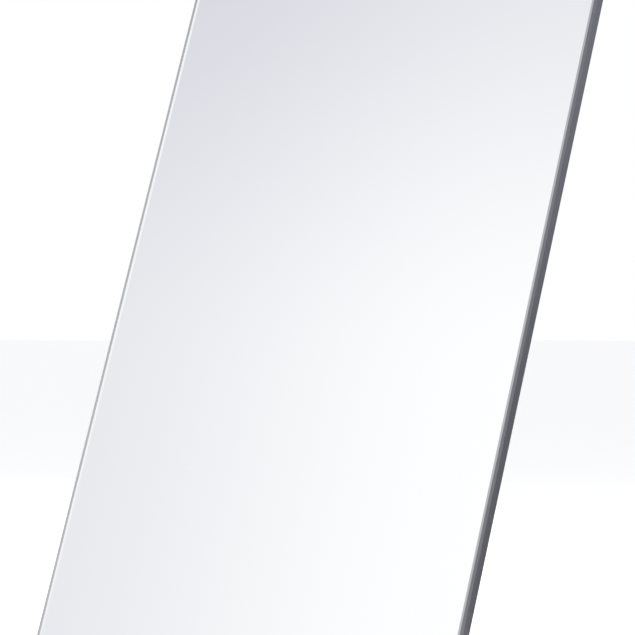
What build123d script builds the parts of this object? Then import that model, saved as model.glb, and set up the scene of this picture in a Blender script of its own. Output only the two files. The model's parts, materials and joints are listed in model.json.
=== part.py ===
from build123d import *
import math
import os

# Tabletop makeup mirror: a silvered pane in a thin mitred frame, leaning back on a bent rod stand.
# Millimetres, +Z up, the mirror faces -Y, and the origin is the middle of the footprint on the table.

# Overall form
mirror_width = 350.0
mirror_height = 550.0
lean_angle = 22.5
stand_angle = 36.0

# Rail section
wall_thickness = 1.4
flange_thickness = 0.9
flange_width = 7.0
lip_thickness = 1.4
lip_flat = 1.8
outer_chamfer = 1.6
front_edge_radius = 0.2
rear_edge_radius = 0.5

# The stack inside the rails
key_thickness = 1.1
board_thickness = 2.0
foam_thickness = 0.6
film_thickness = 0.2
glass_thickness = 3.0
pane_clearance = 0.4

# Corner keys and their screws
key_leg = 28.0
key_width = 10.0
key_clearance = 0.2
screw_radius = 1.5
screw_length = 3.0
screw_socket = 1.5
screw_socket_depth = 1.2
thread_clearance = 0.05
screw_edge_margin = 2.4
screw_end_margin = 5.0

# Feet under the bottom rail
foot_margin = 55.0
foot_width = 20.0
foot_gap = 2.5
foot_inset = 0.6
foot_edge_radius = 1.0

# Hinge brackets
hinge_height = 300.0
bracket_spread = 70.0
plate_thickness = 1.2
ear_thickness = 1.5
ear_radius = 6.5
ear_base = 15.0
tab_width = 30.0
tab_height = 14.0
tab_corner = 3.0
pivot_standoff = 7.0

# Pivot bolts, washers, springs and nuts
bolt_radius = 2.0
bolt_head_radius = 3.8
bolt_head_height = 2.2
bolt_socket = 2.5
bolt_socket_depth = 1.3
bolt_tip = 1.0
bolt_fit = 0.05
washer_radius = 4.2
washer_thickness = 0.6
washer_gap = 0.1
spring_radius = 4.0
spring_thickness = 0.5
spring_rise = 0.35
nut_across_flats = 7.0
nut_height = 3.2
collar_radius = 3.0
collar_height = 1.1

# Rivets
rivet_radius = 1.6
rivet_head_radius = 3.0
rivet_head_height = 1.1
rivet_tail_height = 0.4
rivet_fit = 0.05
tail_clearance = 1.0

# Stand
rod_radius = 3.0
blade_thickness = 3.0
blade_width = 8.4
blade_length = 13.0
nose_length = 3.0
transition_length = 6.0
straight_length = 12.0
foot_bar_length = 90.0
stand_corner_radius = 14.0
splay_bend_radius = 60.0
eye_fit = 0.06
sleeve_radius = 4.5
sleeve_length = 48.0
sleeve_flat = 0.4
sleeve_fit = 0.05
sleeve_edge_radius = 0.8

# Hangers
hanger_margin = 65.0
hanger_height = 430.0
strap_width = 11.0
strap_thickness = 0.9
strap_length = 38.0
strap_rivet_pitch = 11.0
strap_rivet_margin = 6.0
ring_wire_radius = 1.0
ring_fit = 0.08
ring_width = 16.0
ring_side = 5.0
ring_corner_radius = 2.0

# Levels of the stack, counted forward from the frame's rear face
key_level = flange_thickness
board_level = key_level + key_thickness
foam_level = board_level + board_thickness
film_level = foam_level + foam_thickness
glass_level = film_level + film_thickness
lip_level = glass_level + glass_thickness
frame_depth = lip_level + lip_thickness
lip_reach = outer_chamfer + lip_flat

# The hinge and the stand's foot bar
lean = math.radians(lean_angle)
leg_lean = math.radians(stand_angle - lean_angle)
plate_level = board_level - plate_thickness
pivot_level = plate_level - pivot_standoff
pivot_height = foot_gap + hinge_height * math.cos(lean) + pivot_level * math.sin(lean)
foot_bar_height = sleeve_radius - sleeve_flat
leg_length = (pivot_height - foot_bar_height) / math.cos(leg_lean)
pivot_reach = hinge_height * math.sin(lean) - pivot_level * math.cos(lean)
front_reach = frame_depth * math.cos(lean) - outer_chamfer * math.sin(lean)
stand_reach = pivot_reach + leg_length * math.sin(leg_lean) + sleeve_radius
back_reach = max(stand_reach, mirror_height * math.sin(lean))
rear_edge_y = (front_reach - back_reach) / 2

# The mirror's own frame: x across, y up the mirror, z out of its face, from the rear bottom edge
mirror_plane = Plane(
    origin=(0, rear_edge_y, foot_gap),
    x_dir=(1, 0, 0),
    z_dir=(0, -math.cos(lean), math.sin(lean)),
)

# The stand's own frame: x across, y down the legs, from the hinge axis
pivot = mirror_plane.from_local_coords((0, hinge_height, pivot_level))
leg_direction = Vector(0, math.sin(leg_lean), -math.cos(leg_lean))
stand_plane = Plane(
    origin=pivot,
    x_dir=(1, 0, 0),
    z_dir=(0, math.cos(leg_lean), math.sin(leg_lean)),
)


def mirror_direction(x, y, z=0.0):
    return mirror_plane.from_local_coords((x, y, z)) - mirror_plane.origin


def side_plane(x, y, z):
    """A plane square to X at a point of the mirror, drawn with up the mirror to its right."""
    return Plane(
        origin=mirror_plane.from_local_coords((x, y, z)),
        x_dir=mirror_direction(0, 1),
        z_dir=(1, 0, 0),
    )


def save(piece, name):
    piece.part.label = name
    export_step(piece.part, f"parts/{name}.step")


os.makedirs("parts", exist_ok=True)


# Rails

def make_rail(name, middle, inward, length):
    """One length of the frame section, mitred at both ends along the frame's diagonals."""
    along = (inward[1], -inward[0])
    profile_plane = Plane(
        origin=mirror_plane.from_local_coords((*middle, 0)),
        x_dir=mirror_direction(*inward),
        z_dir=mirror_direction(*along),
    )
    with BuildPart() as rail:
        with BuildSketch(profile_plane) as profile:
            with BuildLine():
                Polyline(
                    (0, 0),
                    (0, frame_depth - outer_chamfer),
                    (outer_chamfer, frame_depth),
                    (lip_reach, frame_depth),
                    (lip_reach, lip_level),
                    (wall_thickness, lip_level),
                    (wall_thickness, flange_thickness),
                    (flange_width, flange_thickness),
                    (flange_width, 0),
                    close=True,
                )
            make_face()
            corners = profile.vertices()
            front = corners.group_by(Axis.Y)[-1] + corners.sort_by_distance((0, frame_depth))[:1]
            fillet(front, front_edge_radius)
            fillet(profile.vertices().sort_by_distance((0, 0))[:1], rear_edge_radius)
        extrude(amount=length / 2, both=True)
        for end in (-1, 1):
            corner = (middle[0] + end * along[0] * length / 2, middle[1] + end * along[1] * length / 2)
            mitre = Plane(
                origin=mirror_plane.from_local_coords((*corner, 0)),
                z_dir=mirror_direction(end * along[0] + inward[0], end * along[1] + inward[1]),
            )
            split(bisect_by=mitre, keep=Keep.BOTTOM)
    save(rail, name)


make_rail("bottom_rail", (0, 0), (0, 1), mirror_width)
make_rail("top_rail", (0, mirror_height), (0, -1), mirror_width)
make_rail("left_rail", (-mirror_width / 2, mirror_height / 2), (1, 0), mirror_height)
make_rail("right_rail", (mirror_width / 2, mirror_height / 2), (-1, 0), mirror_height)


# Corner keys and screws

key_edge = wall_thickness + key_clearance
screw_edge = key_edge + key_width - screw_edge_margin
screw_end = key_edge + key_leg - screw_end_margin
corner_names = {
    "bottom_left": (-1, -1),
    "bottom_right": (1, -1),
    "top_left": (-1, 1),
    "top_right": (1, 1),
}


def corner_point(side, end, from_side, from_end):
    """A point of the mirror's plane, by its distances in from a corner's two outer edges."""
    x = side * (mirror_width / 2 - from_side)
    y = mirror_height / 2 + end * (mirror_height / 2 - from_end)
    return (x, y)


screw_spots = []
for corner_name, (side, end) in corner_names.items():
    key_spots = [
        corner_point(side, end, screw_edge, screw_end),
        corner_point(side, end, screw_end, screw_edge),
    ]
    screw_spots += key_spots
    key_reach = key_edge + key_leg
    inner_edge = key_edge + key_width
    with BuildPart() as corner_key:
        with BuildSketch(mirror_plane.offset(key_level)):
            with BuildLine():
                Polyline(
                    corner_point(side, end, key_edge, key_edge),
                    corner_point(side, end, key_reach, key_edge),
                    corner_point(side, end, key_reach, inner_edge),
                    corner_point(side, end, inner_edge, inner_edge),
                    corner_point(side, end, inner_edge, key_reach),
                    corner_point(side, end, key_edge, key_reach),
                    close=True,
                )
            make_face()
            with Locations(*key_spots):
                Circle(screw_radius + thread_clearance, mode=Mode.SUBTRACT)
        extrude(amount=key_thickness)
    save(corner_key, f"corner_key_{corner_name}")

with BuildPart() as corner_key_screws:
    with BuildSketch(mirror_plane.offset(board_level)):
        with Locations(*screw_spots):
            Circle(screw_radius)
    extrude(amount=-screw_length)
    with BuildSketch(mirror_plane.offset(board_level - screw_length)):
        with Locations(*screw_spots):
            RegularPolygon(screw_socket / 2, 6, major_radius=False)
    extrude(amount=screw_socket_depth, mode=Mode.SUBTRACT)
save(corner_key_screws, "corner_key_screws")


# The stack: glass, film, foam and board

pane_inset = wall_thickness + pane_clearance
pane_width = mirror_width - 2 * pane_inset
pane_height = mirror_height - 2 * pane_inset
bracket_x = bracket_spread / 2
hanger_x = mirror_width / 2 - hanger_margin
tab_offset = (ear_base + tab_height) / 2
tab_rivet_x = (tab_width + ear_base) / 4
bracket_rivet_spots = [
    (side * bracket_x + across * tab_rivet_x, hinge_height + up * tab_offset)
    for side in (-1, 1)
    for across in (-1, 1)
    for up in (-1, 1)
]
strap_end = hanger_height - strap_length
hanger_rivet_spots = [
    (side * hanger_x, strap_end + strap_rivet_margin + step * strap_rivet_pitch)
    for side in (-1, 1)
    for step in (0, 1)
]
rivet_spots = bracket_rivet_spots + hanger_rivet_spots
rivet_tail_radius = rivet_radius + tail_clearance / 2


def make_pane(name, level, thickness, holes, hole_radius):
    with BuildPart() as pane:
        with BuildSketch(mirror_plane.offset(level)):
            with Locations((0, mirror_height / 2)):
                Rectangle(pane_width, pane_height)
            if holes:
                with Locations(*holes):
                    Circle(hole_radius, mode=Mode.SUBTRACT)
        extrude(amount=thickness)
    save(pane, name)


make_pane("mirror_glass", glass_level, glass_thickness, [], 0)
make_pane("safety_film", film_level, film_thickness, [], 0)
make_pane("foam_sheet", foam_level, foam_thickness, rivet_spots, rivet_tail_radius + tail_clearance)
make_pane("backing_board", board_level, board_thickness, rivet_spots, rivet_radius + rivet_fit)


# Feet

foot_x = mirror_width / 2 - foot_margin

for side, name in ((-1, "foot_left"), (1, "foot_right")):
    rear_top = mirror_plane.from_local_coords((0, 0, foot_inset))
    front_top = mirror_plane.from_local_coords((0, 0, frame_depth - outer_chamfer - foot_inset))
    foot_plane = Plane(origin=(side * foot_x, 0, 0), x_dir=(0, 1, 0), z_dir=(1, 0, 0))
    with BuildPart() as foot:
        with BuildSketch(foot_plane):
            with BuildLine():
                Polyline(
                    (front_top.Y, front_top.Z),
                    (rear_top.Y, rear_top.Z),
                    (rear_top.Y, 0),
                    (front_top.Y, 0),
                    close=True,
                )
            make_face()
        extrude(amount=foot_width / 2, both=True)
        fillet(foot.edges().filter_by(Axis.Z), foot_edge_radius)
    save(foot, name)


# Hinge brackets

ear_gap = blade_thickness + 2 * (washer_thickness + washer_gap)
ear_inner = ear_gap / 2
ear_outer = ear_inner + ear_thickness

for side, name in ((-1, "hinge_bracket_left"), (1, "hinge_bracket_right")):
    middle_x = side * bracket_x
    with BuildPart() as bracket:
        with BuildSketch(mirror_plane.offset(board_level)):
            with Locations((middle_x, hinge_height)):
                Rectangle(2 * ear_outer, ear_base + tab_height)
            with Locations((middle_x, hinge_height - tab_offset), (middle_x, hinge_height + tab_offset)):
                RectangleRounded(tab_width, tab_height, tab_corner)
            with Locations(*bracket_rivet_spots):
                Circle(rivet_radius + rivet_fit, mode=Mode.SUBTRACT)
        extrude(amount=-plate_thickness)
        for ear_side in (-1, 1):
            ear_x = middle_x + ear_side * ear_inner
            with BuildSketch(side_plane(ear_x, hinge_height, pivot_level)) as ear:
                Circle(ear_radius)
                with Locations((0, pivot_standoff + plate_thickness / 2)):
                    Rectangle(ear_base, plate_thickness)
                make_hull()
                Circle(bolt_radius + bolt_fit, mode=Mode.SUBTRACT)
            extrude(amount=ear_side * ear_thickness)
    save(bracket, name)


# Rivets

def make_rivets(name, spots, head_seat):
    """Domed heads at the back, and tails in the foam's clearance holes."""
    with BuildPart() as rivets:
        with BuildSketch(mirror_plane.offset(head_seat)):
            with Locations(*spots):
                Circle(rivet_head_radius)
        extrude(amount=-rivet_head_height)
        crown = rivets.edges().group_by(Axis(mirror_plane.origin, mirror_plane.z_dir))[0]
        fillet(crown, rivet_head_height * 0.8)
        with BuildSketch(mirror_plane.offset(head_seat)):
            with Locations(*spots):
                Circle(rivet_radius)
        extrude(amount=foam_level - head_seat)
        with BuildSketch(mirror_plane.offset(foam_level)):
            with Locations(*spots):
                Circle(rivet_tail_radius)
        extrude(amount=rivet_tail_height)
    save(rivets, name)


make_rivets("bracket_rivets", bracket_rivet_spots, plate_level)
make_rivets("hanger_rivets", hanger_rivet_spots, board_level - strap_thickness)


# Pivot bolts, friction washers, disc springs and lock nuts

def hinge_plane(side, outward):
    """A plane square to a hinge bolt, so far outward of its bracket's middle, facing outward."""
    x = side * (bracket_x + outward)
    return Plane(
        origin=(x, pivot.Y, pivot.Z),
        x_dir=mirror_direction(0, 1),
        z_dir=(side, 0, 0),
    )


spring_seat = -ear_outer
nut_seat = spring_seat - spring_thickness - spring_rise
nut_end = nut_seat - nut_height - collar_height
bolt_end = nut_end - bolt_tip

for side, name in ((-1, "pivot_bolt_left"), (1, "pivot_bolt_right")):
    with BuildPart() as bolt:
        with BuildSketch(hinge_plane(side, ear_outer)):
            Circle(bolt_head_radius)
        extrude(amount=bolt_head_height)
        fillet(bolt.edges().group_by(Axis((0, 0, 0), (side, 0, 0)))[-1], bolt_head_height * 0.7)
        with BuildSketch(hinge_plane(side, bolt_end)):
            Circle(bolt_radius)
        extrude(amount=ear_outer - bolt_end)
        with BuildSketch(hinge_plane(side, ear_outer + bolt_head_height)):
            RegularPolygon(bolt_socket / 2, 6, major_radius=False)
        extrude(amount=-bolt_socket_depth, mode=Mode.SUBTRACT)
    save(bolt, name)

with BuildPart() as friction_washers:
    for side in (-1, 1):
        for inner_face in (blade_thickness / 2 + washer_gap, -ear_inner):
            with BuildSketch(hinge_plane(side, inner_face)):
                Circle(washer_radius)
                Circle(bolt_radius + bolt_fit, mode=Mode.SUBTRACT)
            extrude(amount=washer_thickness)
save(friction_washers, "friction_washers")

with BuildPart() as disc_springs:
    for side in (-1, 1):
        seat = side * (bracket_x + spring_seat)
        profile_plane = Plane(
            origin=(seat, pivot.Y, pivot.Z),
            x_dir=(-side, 0, 0),
            z_dir=mirror_direction(0, 1),
        )
        with BuildSketch(profile_plane):
            with BuildLine():
                Polyline(
                    (spring_rise, bolt_radius + bolt_fit),
                    (0, spring_radius),
                    (spring_thickness, spring_radius),
                    (spring_rise + spring_thickness, bolt_radius + bolt_fit),
                    close=True,
                )
            make_face()
        revolve(axis=Axis((seat, pivot.Y, pivot.Z), (1, 0, 0)))
save(disc_springs, "disc_springs")

with BuildPart() as lock_nuts:
    for side in (-1, 1):
        with BuildSketch(hinge_plane(side, nut_seat)):
            RegularPolygon(nut_across_flats / 2, 6, major_radius=False)
            Circle(bolt_radius + bolt_fit, mode=Mode.SUBTRACT)
        extrude(amount=-nut_height)
        with BuildSketch(hinge_plane(side, nut_seat - nut_height)):
            Circle(collar_radius)
            Circle(bolt_radius + bolt_fit, mode=Mode.SUBTRACT)
        extrude(amount=-collar_height)
save(lock_nuts, "lock_nuts")


# Stand

rod_start = blade_length + transition_length
splay_start = rod_start + straight_length
foot_bar_x = foot_bar_length / 2

with BuildPart() as stand_loop:
    with BuildLine(stand_plane) as centre_line:
        FilletPolyline(
            (-bracket_x, rod_start),
            (-bracket_x, splay_start),
            (-foot_bar_x, leg_length),
            (foot_bar_x, leg_length),
            (bracket_x, splay_start),
            (bracket_x, rod_start),
            radius=(splay_bend_radius, stand_corner_radius, stand_corner_radius, splay_bend_radius),
        )
    with BuildSketch(Plane(origin=centre_line.line @ 0, z_dir=leg_direction)):
        Circle(rod_radius)
    sweep()
    for side in (-1, 1):
        blade_start = Vector(side * bracket_x, pivot.Y, pivot.Z)
        blade_end = blade_start + leg_direction * blade_length
        neck_end = blade_start + leg_direction * rod_start
        with BuildSketch(Plane(origin=blade_start, x_dir=leg_direction, z_dir=(1, 0, 0))):
            with Locations(((blade_length - nose_length) / 2, 0)):
                Rectangle(blade_length + nose_length, blade_width)
            with Locations((-nose_length, 0)):
                Circle(blade_width / 2)
            Circle(bolt_radius + eye_fit, mode=Mode.SUBTRACT)
        extrude(amount=blade_thickness / 2, both=True)
        with BuildSketch(Plane(origin=blade_end, x_dir=(1, 0, 0), z_dir=leg_direction)):
            Rectangle(blade_thickness, blade_width)
        with BuildSketch(Plane(origin=neck_end, x_dir=(1, 0, 0), z_dir=leg_direction)):
            Circle(rod_radius)
        loft()
save(stand_loop, "stand_loop")

sleeve_plane = Plane(
    origin=(0, pivot.Y + leg_length * math.sin(leg_lean), foot_bar_height),
    x_dir=(0, 1, 0),
    z_dir=(1, 0, 0),
)

with BuildPart() as stand_sleeve:
    with BuildSketch(sleeve_plane):
        Circle(sleeve_radius)
    extrude(amount=sleeve_length / 2, both=True)
    fillet(stand_sleeve.edges().filter_by(GeomType.CIRCLE), sleeve_edge_radius)
    with BuildSketch(sleeve_plane):
        Circle(rod_radius + sleeve_fit)
    extrude(amount=sleeve_length / 2, both=True, mode=Mode.SUBTRACT)
    split(bisect_by=Plane.XY, keep=Keep.TOP)
save(stand_sleeve, "stand_sleeve")


# Hangers

eye_bore_radius = ring_wire_radius + ring_fit
eye_radius = eye_bore_radius + strap_thickness
eye_level = board_level - eye_radius

for side, name in ((-1, "hanger_strap_left"), (1, "hanger_strap_right")):
    strap_x = side * hanger_x
    with BuildPart() as strap:
        with BuildSketch(mirror_plane.offset(board_level)):
            with Locations((strap_x, hanger_height - (strap_length - strap_width / 2) / 2)):
                Rectangle(strap_width, strap_length - strap_width / 2)
            with Locations((strap_x, strap_end + strap_width / 2)):
                Circle(strap_width / 2)
            with Locations(*hanger_rivet_spots):
                Circle(rivet_radius + rivet_fit, mode=Mode.SUBTRACT)
        extrude(amount=-strap_thickness)
        with BuildSketch(side_plane(strap_x, hanger_height, eye_level)):
            Circle(eye_radius)
        extrude(amount=strap_width / 2, both=True)
        with BuildSketch(side_plane(strap_x, hanger_height, eye_level)):
            Circle(eye_bore_radius)
        extrude(amount=strap_width / 2, both=True, mode=Mode.SUBTRACT)
    save(strap, name)

for side, name in ((-1, "hanger_ring_left"), (1, "hanger_ring_right")):
    eye = mirror_plane.from_local_coords((side * hanger_x, hanger_height, eye_level))
    ring_plane = Plane(origin=eye, x_dir=(1, 0, 0), z_dir=(0, 1, 0))
    half_width = ring_width / 2
    bend = half_width - ring_corner_radius
    with BuildPart() as ring:
        with BuildLine(ring_plane) as wire_line:
            Line((0, 0), (bend, 0))
            CenterArc((bend, ring_corner_radius), ring_corner_radius, -90, 90)
            Line((half_width, ring_corner_radius), (half_width, ring_side))
            CenterArc((0, ring_side), half_width, 0, 180)
            Line((-half_width, ring_side), (-half_width, ring_corner_radius))
            CenterArc((-bend, ring_corner_radius), ring_corner_radius, 180, 90)
            Line((-bend, 0), (0, 0))
        with BuildSketch(Plane(origin=eye, z_dir=(1, 0, 0))):
            Circle(ring_wire_radius)
        sweep()
    save(ring, name)
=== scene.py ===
import bpy
import json
import math
from mathutils import Matrix, Vector


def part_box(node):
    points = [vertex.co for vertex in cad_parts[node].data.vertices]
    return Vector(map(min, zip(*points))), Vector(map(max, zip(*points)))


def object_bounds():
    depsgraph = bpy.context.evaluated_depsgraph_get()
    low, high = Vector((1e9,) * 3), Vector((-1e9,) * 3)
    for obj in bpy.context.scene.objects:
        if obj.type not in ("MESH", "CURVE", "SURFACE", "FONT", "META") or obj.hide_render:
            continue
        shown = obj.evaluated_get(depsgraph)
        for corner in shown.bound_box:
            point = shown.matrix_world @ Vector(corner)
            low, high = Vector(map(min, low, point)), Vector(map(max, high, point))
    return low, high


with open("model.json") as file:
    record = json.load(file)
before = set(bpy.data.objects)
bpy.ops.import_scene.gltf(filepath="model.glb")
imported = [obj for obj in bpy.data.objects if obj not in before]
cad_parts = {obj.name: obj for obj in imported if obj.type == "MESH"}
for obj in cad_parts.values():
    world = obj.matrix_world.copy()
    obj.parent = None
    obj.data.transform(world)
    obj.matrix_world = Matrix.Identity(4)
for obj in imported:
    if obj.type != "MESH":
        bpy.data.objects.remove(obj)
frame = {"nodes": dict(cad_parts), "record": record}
cadLow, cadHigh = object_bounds()
print("frame loaded")

# The mirror leans back about its lower rear edge. Its own axes run across, up the pane, and out of it.
leanAngle = math.radians(22.5)
upMirror = Vector((0, math.sin(leanAngle), math.cos(leanAngle)))
outOfMirror = Vector((0, -math.cos(leanAngle), math.sin(leanAngle)))
glassLow, glassHigh = (Vector(corner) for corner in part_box("mirror_glass"))
glassMiddle = (glassLow + glassHigh) / 2
hinge = next(joint for joint in frame["record"]["behaviour"]["joints"] if joint["name"] == "stand_hinge")
hingePlace = Vector(hinge["pos_m"])


# Shader maths: a wire is a socket that can be added, scaled and so on

class Wire:
    def __init__(self, graph, socket):
        self.graph = graph
        self.socket = socket

    def maths(self, operation, *inputs):
        return self.graph.add("ShaderNodeMath", {"operation": operation}, inputs)

    def __add__(self, other):
        return self.maths("ADD", self, other)

    def __sub__(self, other):
        return self.maths("SUBTRACT", self, other)

    def __rsub__(self, other):
        return self.maths("SUBTRACT", other, self)

    def __mul__(self, other):
        return self.maths("MULTIPLY", self, other)

    def __pow__(self, other):
        return self.maths("POWER", self, other)

    __radd__ = __add__
    __rmul__ = __mul__

    def sine(self):
        return self.maths("SINE", self)

    def size(self):
        return self.maths("ABSOLUTE", self)

    def band(self, low, high):  # 0 at low, 1 at high, smooth between
        values = {"Value": self, "From Min": low, "From Max": high, "To Min": 0.0, "To Max": 1.0}
        return self.graph.add("ShaderNodeMapRange", {"interpolation_type": "SMOOTHSTEP"}, values)


class Graph:
    def __init__(self, tree):
        self.nodes = tree.nodes
        self.links = tree.links
        self.nodes.clear()

    def add(self, kind, settings, inputs, output=0):
        node = self.nodes.new(kind)
        for key, value in settings.items():
            setattr(node, key, value)
        pairs = inputs.items() if isinstance(inputs, dict) else enumerate(inputs)
        for key, value in pairs:
            self.feed(node.inputs[key], value)
        return Wire(self, node.outputs[output])

    def feed(self, socket, value):
        if isinstance(value, Wire):
            self.links.new(value.socket, socket)
        else:
            socket.default_value = value

    def places(self):
        return self.add("ShaderNodeTexCoord", {}, {}, "Object")

    def mapped(self, vector, **settings):
        return self.add("ShaderNodeMapping", {}, {"Vector": vector, **settings})

    def split(self, vector):
        node = self.add("ShaderNodeSeparateXYZ", {}, {"Vector": vector}).socket.node
        return [Wire(self, output) for output in node.outputs]

    def dot(self, vector, direction):
        return self.add("ShaderNodeVectorMath", {"operation": "DOT_PRODUCT"}, [vector, direction], "Value")

    def noise(self, vector, scale=1.0, detail=2.0, roughness=0.5):
        inputs = {"Vector": vector, "Scale": scale, "Detail": detail, "Roughness": roughness}
        return self.add("ShaderNodeTexNoise", {}, inputs, "Fac")

    def cells(self, vector, scale):
        return self.add("ShaderNodeTexVoronoi", {}, {"Vector": vector, "Scale": scale}, "Color")

    def blend(self, amount, first, second):
        inputs = {"Factor": amount, "A": first, "B": second}
        node = self.add("ShaderNodeMix", {"data_type": "RGBA"}, {}).socket.node
        for socket in node.inputs:
            if socket.name in inputs and socket.enabled:
                self.feed(socket, inputs[socket.name])
        return Wire(self, next(output for output in node.outputs if output.enabled))

    def bump(self, height, depth, strength=1.0):
        return self.add("ShaderNodeBump", {}, {"Height": height, "Distance": depth, "Strength": strength})


class Finish(Graph):
    def __init__(self, name):
        self.material = bpy.data.materials.new(name)
        self.material.use_nodes = True
        super().__init__(self.material.node_tree)
        self.shader = self.nodes.new("ShaderNodeBsdfPrincipled")
        output = self.nodes.new("ShaderNodeOutputMaterial")
        self.links.new(self.shader.outputs["BSDF"], output.inputs["Surface"])

    def surface(self, **values):
        for name, value in values.items():
            self.feed(self.shader.inputs[name.replace("_", " ")], value)

    def onMirror(self):  # places turned so that Y runs up the mirror and Z out of it
        return self.mapped(self.places(), Rotation=(leanAngle - math.pi / 2, 0, 0))

    def fromHinge(self):  # distance from the hinge axis
        x, y, z = self.split(self.mapped(self.places(), Location=-hingePlace))
        return (y * y + z * z) ** 0.5

    def paint(self, *nodes):
        for node in nodes:
            for slot in frame["nodes"][node].material_slots:
                slot.material = self.material


def grey(value, blueness=0.0):
    return (value, value * (1 + blueness * 0.3), value * (1 + blueness), 1)


# Frame: clear anodised aluminium, brushed along each rail, with a hairline at the mitres and a painted highlight
# along the lip's inner edge

brushed = {
    "tone": 0.50,
    "blueness": 0.035,
    "contrast": 0.10,
    "linesAcross": 2400,
    "linesAlong": 7,
    "roughness": 0.30,
    "mitreLine": 0.00009,
    "lipReach": 0.0034,
    "highlightHalfWidth": 0.00014,  # painted highlight: a bright, glossy stripe along the lip's inner edge
    "highlightTone": 0.94,
    "highlightRoughness": 0.10,
}


def brushedRail(name, alongX, nodes):
    finish = Finish(name)
    places = finish.onMirror()
    across, along = brushed["linesAcross"], brushed["linesAlong"]
    stretch = (along, across, across) if alongX else (across, along, across)
    lines = finish.noise(finish.mapped(places, Scale=stretch), 1.0, 4.0, 0.62)
    drift = finish.noise(places, 9.0, 2.0)
    middle = finish.mapped(finish.places(), Location=-glassMiddle)
    fromMiddle = finish.split(finish.mapped(middle, Rotation=(leanAngle - math.pi / 2, 0, 0)))
    halfWidth = cadHigh.x
    halfHeight = (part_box("top_rail")[1][2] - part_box("bottom_rail")[0][2]) / math.cos(leanAngle) / 2
    corner = (fromMiddle[0].size() - halfWidth) - (fromMiddle[1].size() - halfHeight)
    seam = 1 - corner.size().band(brushed["mitreLine"] * 0.4, brushed["mitreLine"])
    tone = brushed["tone"]
    light = finish.blend(lines.band(0.25, 0.75), grey(tone * (1 - brushed["contrast"]), brushed["blueness"]),
                         grey(tone * (1 + brushed["contrast"]), brushed["blueness"]))
    worn = finish.blend(drift.band(0.35, 0.8) * 0.16, light, grey(tone * 0.86, 0.02))
    toLip = fromMiddle[1].size() - halfHeight if alongX else fromMiddle[0].size() - halfWidth
    # painted highlight: a pale, glossy stripe on the front face along the lip's inner edge, left out of the
    # brushing
    onHighlightLine = 1 - (toLip + brushed["lipReach"]).size().band(brushed["highlightHalfWidth"], brushed["highlightHalfWidth"] + 0.00006)
    bright = onHighlightLine * fromMiddle[2].band(0.0012, 0.0014)
    seamed = finish.blend(seam * 0.75, worn, grey(0.06))
    satin = brushed["roughness"] + lines * 0.12 + drift * 0.05
    finish.surface(
        Base_Color=finish.blend(bright, seamed, grey(brushed["highlightTone"], 0.01)),
        Metallic=1.0,
        Roughness=satin * (1 - bright) + bright * brushed["highlightRoughness"],
        Normal=finish.bump(lines * (1 - bright), 0.000012, 0.6),
    )
    finish.paint(*nodes)


brushedRail("brushedAcross", True, ["top_rail", "bottom_rail"])
brushedRail("brushedUpright", False, ["left_rail", "right_rail"])
print("frame finished")


# Pane: silvered float glass, with the faintest haze in random smears

silvering = {"tone": (0.945, 0.95, 0.955, 1), "haze": 0.012}
pane = Finish("silveredGlass")
smears = pane.noise(pane.mapped(pane.onMirror(), Scale=(6, 14, 6)), 1.0, 3.0, 0.6)
pane.surface(
    Base_Color=pane.blend(smears * 0.1, silvering["tone"], (0.925, 0.935, 0.94, 1)),
    Metallic=1.0,
    Roughness=smears.band(0.5, 0.9) * silvering["haze"],
)
pane.paint("mirror_glass")


# Behind the pane: film, foam and the board

film = Finish("clearFilm")
film.surface(Base_Color=film.blend(film.noise(film.places(), 40.0), grey(0.5), grey(0.62)), Roughness=0.35)
film.paint("safety_film")

foam = Finish("whiteFoam")
foamCells = foam.noise(foam.places(), 1400.0, 2.0)
foam.surface(
    Base_Color=foam.blend(foamCells, grey(0.7), grey(0.86)),
    Roughness=0.9,
    Normal=foam.bump(foamCells, 0.0001),
)
foam.paint("foam_sheet")

hardboard = {"pitch": 0.0017, "depth": 0.00022, "dark": (0.105, 0.055, 0.028, 1), "light": (0.235, 0.135, 0.072, 1)}
board = Finish("screenedHardboard")
boardPlaces = board.onMirror()
across, upward = board.split(boardPlaces)[:2]
turn = 2 * math.pi / hardboard["pitch"]
weave = (across * turn).sine() * (upward * turn).sine() * 0.5 + 0.5
fibres = board.noise(board.mapped(boardPlaces, Scale=(420, 190, 420)), 1.0, 5.0, 0.65)
clouds = board.noise(boardPlaces, 13.0, 3.0, 0.55)
boardTone = board.blend(fibres.band(0.28, 0.72), hardboard["dark"], hardboard["light"])
boardTone = board.blend(clouds.band(0.3, 0.75) * 0.45, boardTone, (0.15, 0.083, 0.045, 1))
board.surface(
    Base_Color=board.blend((1 - weave) * 0.4, boardTone, (0.06, 0.032, 0.018, 1)),
    Roughness=0.72 + fibres * 0.2,
    Normal=board.bump(weave * 0.7 + fibres * 0.5, hardboard["depth"]),
)
board.paint("backing_board")
print("pane and board finished")


# Pressed steel: zinc plated sheet with a soft mottle

def platedSteel(name, tone, blueness, roughness, mottle, nodes):
    finish = Finish(name)
    places = finish.places()
    spangle = finish.split(finish.cells(places, mottle))[0]
    cloud = finish.noise(places, mottle * 0.35, 3.0, 0.6)
    scratches = finish.noise(finish.mapped(places, Scale=(5200, 700, 240)), 1.0, 2.0)
    mixed = finish.blend(spangle * 0.5 + cloud * 0.5, grey(tone * 0.84, blueness), grey(tone * 1.1, blueness * 0.6))
    finish.surface(
        Base_Color=finish.blend(scratches.band(0.62, 0.78) * 0.5, mixed, grey(tone * 0.62, blueness)),
        Metallic=1.0,
        Roughness=roughness + spangle * 0.07 + cloud * 0.12,
        Normal=finish.bump(cloud + scratches * 0.4, 0.00003),
    )
    finish.paint(*nodes)


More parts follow.
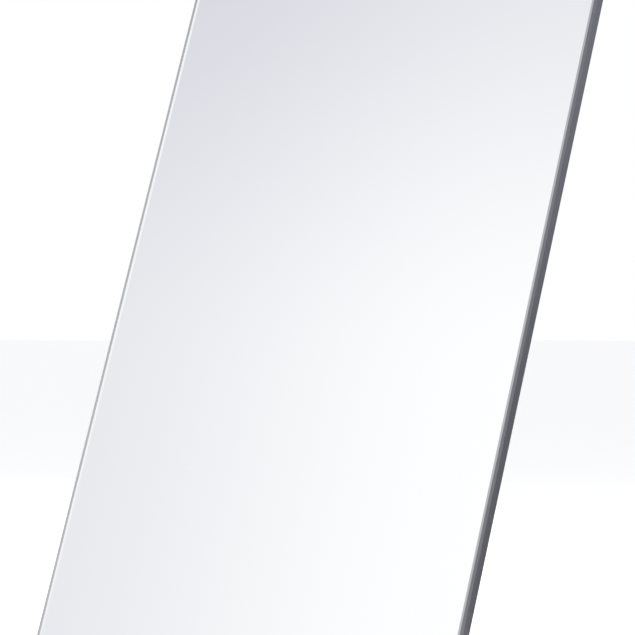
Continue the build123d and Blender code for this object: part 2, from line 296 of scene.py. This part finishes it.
plating = {
    "platedSheet": {"tone": 0.60, "blueness": 0.07, "roughness": 0.26, "mottle": 520.0, "nodes": [
        "hinge_bracket_left", "hinge_bracket_right", "hanger_strap_left", "hanger_strap_right",
        "corner_key_top_left", "corner_key_top_right", "corner_key_bottom_left", "corner_key_bottom_right",
    ]},
    "rivetSteel": {"tone": 0.66, "blueness": 0.03, "roughness": 0.30, "mottle": 900.0, "nodes": [
        "bracket_rivets", "hanger_rivets",
    ]},
    "ringWire": {"tone": 0.72, "blueness": 0.02, "roughness": 0.16, "mottle": 1400.0, "nodes": [
        "hanger_ring_left", "hanger_ring_right",
    ]},
    "springSteel": {"tone": 0.30, "blueness": 0.02, "roughness": 0.36, "mottle": 1100.0, "nodes": [
        "disc_springs",
    ]},
    "blackScrew": {"tone": 0.07, "blueness": 0.02, "roughness": 0.42, "mottle": 1500.0, "nodes": [
        "corner_key_screws",
    ]},
}
for name, look in plating.items():
    platedSteel(name, **look)


# Hinge bolts: bright zinc, with a rolled thread on the shank

bolts = {"threadPitch": 0.0007, "threadDepth": 0.00018}
bolt = Finish("hingeBolt")
boltAcross = bolt.split(bolt.places())[0]
thread = (boltAcross * (2 * math.pi / bolts["threadPitch"])).sine() * 0.5 + 0.5
boltCloud = bolt.noise(bolt.places(), 1500.0, 3.0)
onShank = 1 - bolt.fromHinge().band(0.00204, 0.00212)
bolt.surface(
    Base_Color=bolt.blend(boltCloud, grey(0.58, 0.05), grey(0.74, 0.03)),
    Metallic=1.0,
    Roughness=0.22 + boltCloud * 0.14,
    Normal=bolt.bump(thread * onShank + boltCloud * 0.05, bolts["threadDepth"]),
)
bolt.paint("pivot_bolt_left", "pivot_bolt_right")


# Lock nuts: zinc, with a white nylon ring showing in the collar

nuts = {"ringOuter": 0.00275, "collarStart": 0.0272}
nut = Finish("lockNut")
nutAcross = nut.split(nut.places())[0].size()
inCollar = (1 - nut.fromHinge().band(nuts["ringOuter"], nuts["ringOuter"] + 0.00008)) * (
    1 - nutAcross.band(nuts["collarStart"] - 0.0001, nuts["collarStart"]))
nutCloud = nut.noise(nut.places(), 1300.0, 3.0)
nut.surface(
    Base_Color=nut.blend(inCollar, nut.blend(nutCloud, grey(0.55, 0.05), grey(0.72, 0.03)), grey(0.74, 0.02)),
    Metallic=1 - inCollar,
    Roughness=0.26 + nutCloud * 0.14 + inCollar * 0.2,
    Normal=nut.bump(nutCloud, 0.00003),
)
nut.paint("lock_nuts")

nylon = Finish("naturalNylon")
nylonCloud = nylon.noise(nylon.places(), 900.0, 2.0)
nylon.surface(
    Base_Color=nylon.blend(nylonCloud, (0.70, 0.68, 0.60, 1), (0.80, 0.79, 0.73, 1)),
    Roughness=0.45 + nylonCloud * 0.1,
)
nylon.paint("friction_washers")


# Stand: satin nickel rod, drawn lengthwise, rubbed bright where the blades turn on their washers

rod = {"tone": 0.56, "rubInner": 0.0026, "rubOuter": 0.0043}
stand = Finish("satinRod")
standPlaces = stand.places()
drawn = stand.noise(stand.mapped(standPlaces, Scale=(2600, 2600, 60)), 1.0, 3.0, 0.6)
satin = stand.noise(standPlaces, 160.0, 3.0, 0.6)
rub = stand.fromHinge().band(rod["rubInner"], rod["rubInner"] + 0.0003) * (
    1 - stand.fromHinge().band(rod["rubOuter"] - 0.0003, rod["rubOuter"]))
circles = (stand.fromHinge() * 21000.0).sine() * 0.5 + 0.5
nickel = stand.blend(drawn.band(0.3, 0.7), (0.50, 0.49, 0.47, 1), (0.63, 0.62, 0.60, 1))
stand.surface(
    Base_Color=stand.blend(rub * 0.6, nickel, (0.74, 0.73, 0.71, 1)),
    Metallic=1.0,
    Roughness=0.25 + satin * 0.14 + drawn * 0.05 - rub * 0.05,
    Normal=stand.bump(drawn * 0.6 + rub * circles * 0.8, 0.00003),
)
stand.paint("stand_loop")


# Rubber: matt black, with a moulded grain and a little dust on it

rubber = Finish("mattRubber")
rubberGrain = rubber.noise(rubber.places(), 2600.0, 3.0, 0.6)
dust = rubber.noise(rubber.places(), 240.0, 4.0, 0.65)
rubber.surface(
    Base_Color=rubber.blend(dust.band(0.5, 0.85) * 0.35, (0.022, 0.022, 0.024, 1), (0.12, 0.118, 0.112, 1)),
    Roughness=0.62 + rubberGrain * 0.25,
    Normal=rubber.bump(rubberGrain, 0.00006),
)
rubber.paint("stand_sleeve", "foot_left", "foot_right")
print("hardware finished")


# Studio: white round the object, dimmer to its right, so that the side of the frame reads dark

studio = {
    "bright": 1.05,
    "dim": 0.22,
    "dimTowards": Vector((0.86, 0.42, 0.12)).normalized(),
    "dimFrom": -0.15,
    "dimTo": 0.75,
    "dimTint": (0.95, 0.955, 1.09, 1),
    "skyFade": 0.26,
    "skyFrom": 0.3,
    "skyTo": 0.95,
    "floorTone": 0.93,
    "floorGlow": 0.36,
}


def softWorld():
    world = bpy.data.worlds.new("studio")
    bpy.context.scene.world = world
    world.use_nodes = True
    graph = Graph(world.node_tree)
    direction = graph.add("ShaderNodeTexCoord", {}, {}, "Generated")
    dimming = graph.dot(direction, tuple(studio["dimTowards"])).band(studio["dimFrom"], studio["dimTo"])
    sky = graph.split(direction)[2].band(studio["skyFrom"], studio["skyTo"]) * studio["skyFade"]
    strength = (studio["bright"] - dimming * (studio["bright"] - studio["dim"])) * (1 - sky)
    tint = graph.blend(dimming, (0.985, 0.99, 1, 1), studio["dimTint"])
    around = graph.add("ShaderNodeBackground", {}, {"Color": tint, "Strength": strength})
    seen = graph.add("ShaderNodeBackground", {}, {"Color": (1, 1, 1, 1), "Strength": 1.0})
    cameraRay = graph.add("ShaderNodeLightPath", {}, {}, "Is Camera Ray")
    both = graph.add("ShaderNodeMixShader", {}, [cameraRay, around, seen])
    output = graph.nodes.new("ShaderNodeOutputWorld")
    graph.links.new(both.socket, output.inputs["Surface"])


def paleFloor():
    bpy.ops.mesh.primitive_circle_add(vertices=96, radius=40, fill_type="NGON", location=(0, 0, 0))
    floor = bpy.context.object
    floor.name = "paleFloor"
    finish = Finish("paleFloor")
    finish.surface(
        Base_Color=grey(studio["floorTone"]),
        Roughness=0.9,
        Emission_Color=(1, 1, 1, 1),
        Emission_Strength=studio["floorGlow"],
    )
    floor.data.materials.append(finish.material)


def areaLight(name, place, aim, size, power):
    bpy.ops.object.light_add(type="AREA", location=place)
    light = bpy.context.object
    light.name = name
    light.data.shape = "DISK"
    light.data.size = size
    light.data.energy = power
    light.rotation_euler = (Vector(aim) - Vector(place)).to_track_quat("-Z", "Y").to_euler()
    light.visible_glossy = False


softWorld()
paleFloor()
areaLight("overhead", (-0.7, -0.4, 2.6), (0, 0, 0.2), 2.2, 22)
areaLight("behind", (-0.6, 2.2, 1.6), (0, 0, 0.25), 1.6, 14)


# Card that the pane reflects: lavender grey where the upper left looks, white where the lower right does

card = {
    "distance": 1.1,
    "radius": 1.0,
    "solidTo": 0.62,
    "upperLeft": (0.69, 0.69, 0.765, 1),
    "lowerLeft": (0.835, 0.845, 0.875, 1),
    "upperRight": (0.815, 0.822, 0.858, 1),
    "lowerRight": (1.05, 1.05, 1.06, 1),
    "acrossFrom": -0.25,
    "acrossTo": 0.18,
    "upFrom": -0.05,
    "upTo": 0.36,
}
view = {"azimuth": 33.93, "distance": 2.640, "toTheRight": 0.00235, "lens": 213.34, "frontAbove": 0.0029}
azimuth = math.radians(view["azimuth"])
towardsCamera = Vector((math.sin(azimuth), -math.cos(azimuth), 0))
rightInView = Vector((math.cos(azimuth), math.sin(azimuth), 0))
faceMiddle = glassMiddle + outOfMirror * view["frontAbove"]  # in the frame's front plane, where the view is aimed


def onlyReflected(sheet):
    sheet.visible_camera = False
    sheet.visible_diffuse = False
    sheet.visible_shadow = False


def paneCard():
    heading = 2 * towardsCamera.dot(outOfMirror) * outOfMirror - towardsCamera
    place = faceMiddle + heading * card["distance"]
    bpy.ops.mesh.primitive_circle_add(vertices=64, radius=card["radius"], fill_type="NGON", location=place,
                                      rotation=heading.to_track_quat("Z", "Y").to_euler())
    sheet = bpy.context.object
    sheet.name = "paneCard"
    bpy.ops.object.transform_apply(location=True, rotation=True, scale=True)
    spread = 1 + card["distance"] / view["distance"]
    acrossSeen = (Vector((1, 0, 0)) - heading * heading.x) * spread
    upSeen = (upMirror - heading * heading.dot(upMirror)) * spread
    overlap = acrossSeen.dot(upSeen)
    size = acrossSeen.dot(acrossSeen) * upSeen.dot(upSeen) - overlap ** 2
    toAcross = (acrossSeen * upSeen.dot(upSeen) - upSeen * overlap) / size
    toUp = (upSeen * acrossSeen.dot(acrossSeen) - acrossSeen * overlap) / size
    material = bpy.data.materials.new("paneCard")
    material.use_nodes = True
    graph = Graph(material.node_tree)
    fromCentre = graph.mapped(graph.places(), Location=-place)
    across = graph.dot(fromCentre, tuple(toAcross)).band(card["acrossFrom"], card["acrossTo"])
    down = 1 - graph.dot(fromCentre, tuple(toUp)).band(card["upFrom"], card["upTo"])
    left = graph.blend(down, card["upperLeft"], card["lowerLeft"])
    right = graph.blend(down, card["upperRight"], card["lowerRight"])
    distance = graph.add("ShaderNodeVectorMath", {"operation": "LENGTH"}, [fromCentre], "Value")
    glow = graph.add("ShaderNodeEmission", {}, {"Color": graph.blend(across, left, right), "Strength": 1.0})
    clear = graph.add("ShaderNodeBsdfTransparent", {}, {})
    edge = distance.band(card["solidTo"], card["radius"])
    faded = graph.add("ShaderNodeMixShader", {}, [edge, glow, clear])
    output = graph.nodes.new("ShaderNodeOutputMaterial")
    graph.links.new(faded.socket, output.inputs["Surface"])
    sheet.data.materials.append(material)
    onlyReflected(sheet)


paneCard()


# Sheets that only reflections see: a dark flag behind and to the right, the same on the floor, and a white strip
# to the front right that the bright inner edge of the left rail catches by way of the pane

flag = {
    "distance": 0.9,
    "width": 1.5,
    "height": 2.0,
    "top": (0.30, 0.30, 0.355, 1),
    "foot": (0.125, 0.128, 0.15, 1),
    "floorWidth": 0.7,
    "floorFrom": 0.16,
    "floorGap": 0.0015,
    "topAt": 0.6,
    "solidTo": 0.85,
}
strip = {"distance": 1.2, "width": 0.50, "height": 1.5, "glow": 1.04, "solidTo": 0.35}



def glowingSheet(name, place, across, upward, width, height, foot, top, topHeight, solidTo):
    facing = across.cross(upward)
    turned = Matrix((across, upward, facing)).transposed().to_euler()
    bpy.ops.mesh.primitive_plane_add(size=1, location=place, rotation=turned)
    sheet = bpy.context.object
    sheet.name = name
    sheet.scale = (width, height, 1)
    bpy.ops.object.transform_apply(location=True, rotation=True, scale=True)
    material = bpy.data.materials.new(name)
    material.use_nodes = True
    graph = Graph(material.node_tree)
    rise = graph.split(graph.places())[2].band(0.0, topHeight)
    glow = graph.add("ShaderNodeEmission", {}, {"Color": graph.blend(rise, foot, top), "Strength": 1.0})
    clear = graph.add("ShaderNodeBsdfTransparent", {}, {})
    fromCentre = graph.mapped(graph.places(), Location=-place)
    sideways = graph.dot(fromCentre, tuple(across)).size().band(width / 2 * solidTo, width / 2)
    endways = graph.dot(fromCentre, tuple(upward)).size().band(height / 2 * solidTo, height / 2)
    faded = graph.add("ShaderNodeMixShader", {}, [(1 - sideways) * (1 - endways), clear, glow])
    output = graph.nodes.new("ShaderNodeOutputMaterial")
    graph.links.new(faded.socket, output.inputs["Surface"])
    sheet.data.materials.append(material)
    onlyReflected(sheet)


vertical = Vector((0, 0, 1))
awayRight = Vector((towardsCamera.x, -towardsCamera.y, 0))
flagAcross = vertical.cross(awayRight)
underGlass = Vector((glassMiddle.x, glassMiddle.y, flag["floorGap"]))
floorReach = flag["distance"] - flag["floorFrom"]
glowingSheet("sideFlag", glassMiddle + awayRight * flag["distance"], flagAcross, vertical,
             flag["width"], flag["height"], flag["foot"], flag["top"], flag["topAt"], flag["solidTo"])
glowingSheet("floorFlag", underGlass + awayRight * (flag["floorFrom"] + floorReach / 2), flagAcross, awayRight,
             flag["floorWidth"], floorReach, flag["foot"], flag["foot"], flag["topAt"], flag["solidTo"])

lipCatches = awayRight - 2 * awayRight.dot(outOfMirror) * outOfMirror
stripUp = (upMirror - lipCatches * upMirror.dot(lipCatches)).normalized()
leftLip = faceMiddle - Vector((cadHigh.x - brushed["lipReach"], 0, 0))
glowingSheet("lipStrip", leftLip + lipCatches * strip["distance"], stripUp.cross(lipCatches), stripUp,
             strip["width"], strip["height"], grey(strip["glow"]), grey(strip["glow"]),
             flag["topAt"], strip["solidTo"])
print("studio ready")


# Camera: level, to the front right, with a long lens

bpy.ops.object.camera_add(location=faceMiddle + towardsCamera * view["distance"] + rightInView * view["toTheRight"])
camera = bpy.context.object
camera.rotation_euler = (-towardsCamera).to_track_quat("-Z", "Y").to_euler()
camera.data.lens = view["lens"]
camera.data.sensor_width = 36
camera.data.clip_start = 0.05
camera.data.clip_end = 200
bpy.context.scene.camera = camera
bpy.context.scene.view_settings.view_transform = "Standard"
